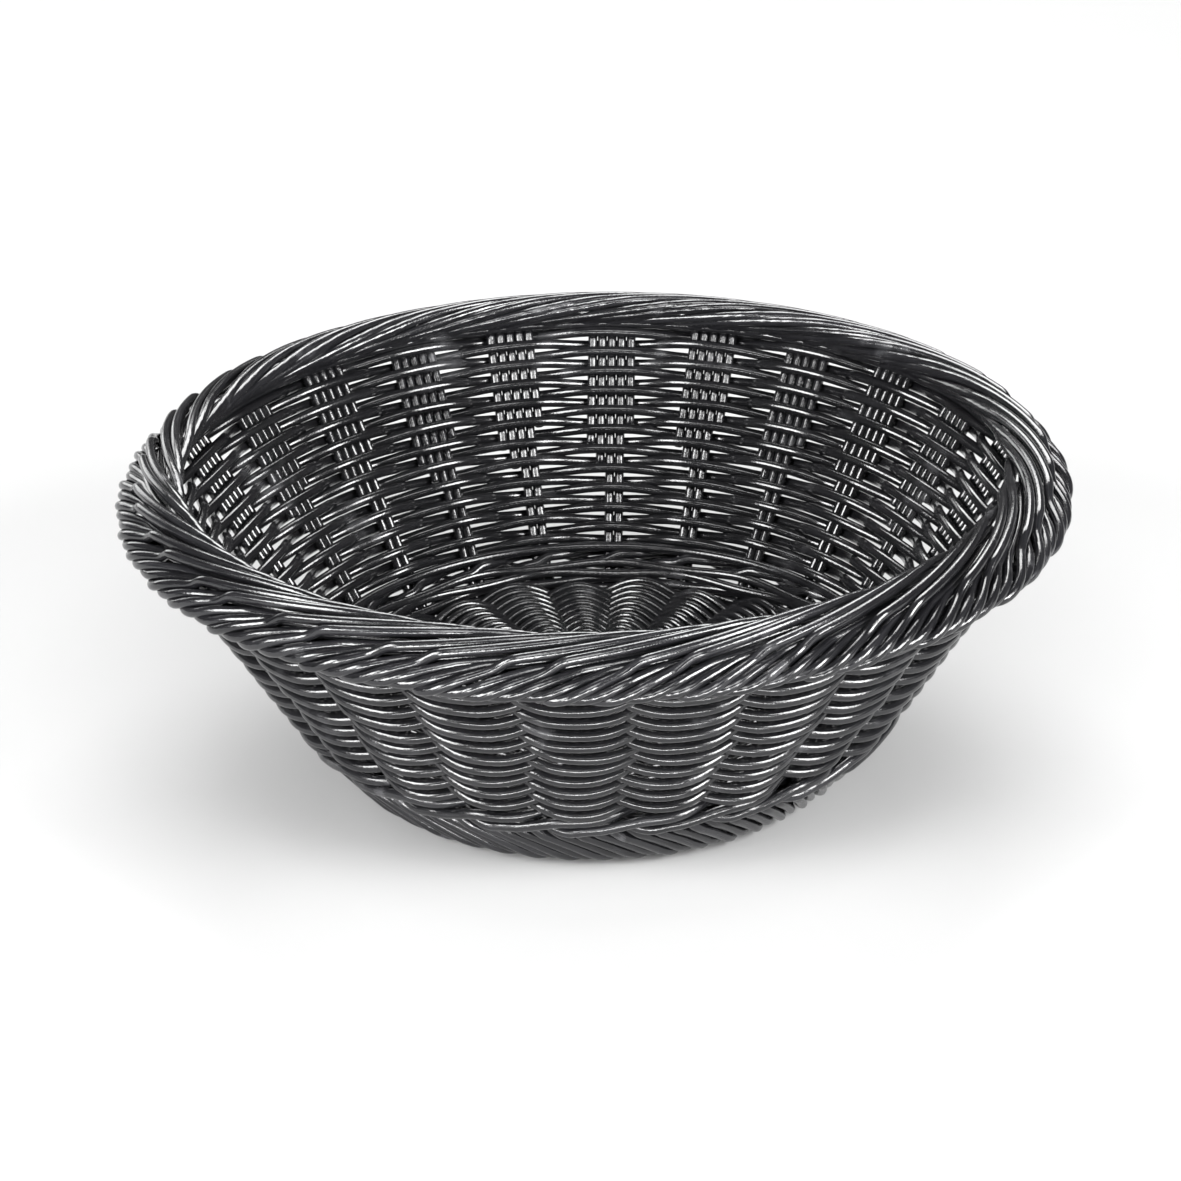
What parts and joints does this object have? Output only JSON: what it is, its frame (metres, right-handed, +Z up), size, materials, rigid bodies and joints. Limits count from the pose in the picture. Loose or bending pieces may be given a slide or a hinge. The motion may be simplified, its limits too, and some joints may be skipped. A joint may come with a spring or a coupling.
{
  "type": "woven fruit basket",
  "caption": "Round, flared basket woven from black plastic cord, with a rolled rim border, a flat woven floor and a plaited foot.",
  "frame": {"origin": "on the table, under the centre of the basket, at the flat underside of the foot border", "axes": "+Z up along the basket's axis, from the foot to the mouth; the side facing -Y is the one seen from the front"},
  "size_m": [0.4, 0.4, 0.139],
  "materials": {
    "weaver_cord": "black plastic cord, glossy, finely ribbed along its length",
    "stake_cord": "black plastic cord, glossy, finely ribbed along its length",
    "border_cord": "black plastic cord, semi-gloss, finely ribbed along its length",
    "foot_cord": "black plastic cord, semi-gloss, finely ribbed along its length",
    "floor_cord": "black plastic cord, glossy, finely ribbed along its length"
  },
  "bodies": {
    "root": {"foot_border": "foot_cord", "foot_wale_strand_1": "foot_cord", "foot_wale_strand_2": "foot_cord", "foot_wale_strand_3": "foot_cord", "base_spokes_lower": "stake_cord", "base_spokes_upper": "stake_cord", "base_weave_lower": "floor_cord", "base_weave_upper": "floor_cord", "stake_bundle_01": "stake_cord", "stake_bundle_02": "stake_cord", "stake_bundle_03": "stake_cord", "stake_bundle_04": "stake_cord", "stake_bundle_05": "stake_cord", "stake_bundle_06": "stake_cord", "stake_bundle_07": "stake_cord", "stake_bundle_08": "stake_cord", "stake_bundle_09": "stake_cord", "stake_bundle_10": "stake_cord", "stake_bundle_11": "stake_cord", "stake_bundle_12": "stake_cord", "stake_bundle_13": "stake_cord", "stake_bundle_14": "stake_cord", "stake_bundle_15": "stake_cord", "stake_bundle_16": "stake_cord", "stake_bundle_17": "stake_cord", "stake_bundle_18": "stake_cord", "stake_bundle_19": "stake_cord", "stake_bundle_20": "stake_cord", "stake_bundle_21": "stake_cord", "stake_bundle_22": "stake_cord", "stake_bundle_23": "stake_cord", "stake_bundle_24": "stake_cord", "side_weaver_01": "weaver_cord", "side_weaver_02": "weaver_cord", "side_weaver_03": "weaver_cord", "side_weaver_04": "weaver_cord", "side_weaver_05": "weaver_cord", "side_weaver_06": "weaver_cord", "side_weaver_07": "weaver_cord", "side_weaver_08": "weaver_cord", "side_weaver_09": "weaver_cord", "side_weaver_10": "weaver_cord", "side_weaver_11": "weaver_cord", "side_weaver_12": "weaver_cord", "side_weaver_13": "weaver_cord", "side_weaver_14": "weaver_cord", "side_weaver_15": "weaver_cord", "side_weaver_16": "weaver_cord", "side_weaver_17": "weaver_cord", "side_weaver_18": "weaver_cord", "side_weaver_19": "weaver_cord", "side_weaver_20": "weaver_cord", "side_weaver_21": "weaver_cord", "side_weaver_22": "weaver_cord", "rim_border": "border_cord"}
  },
  "joints": []
}
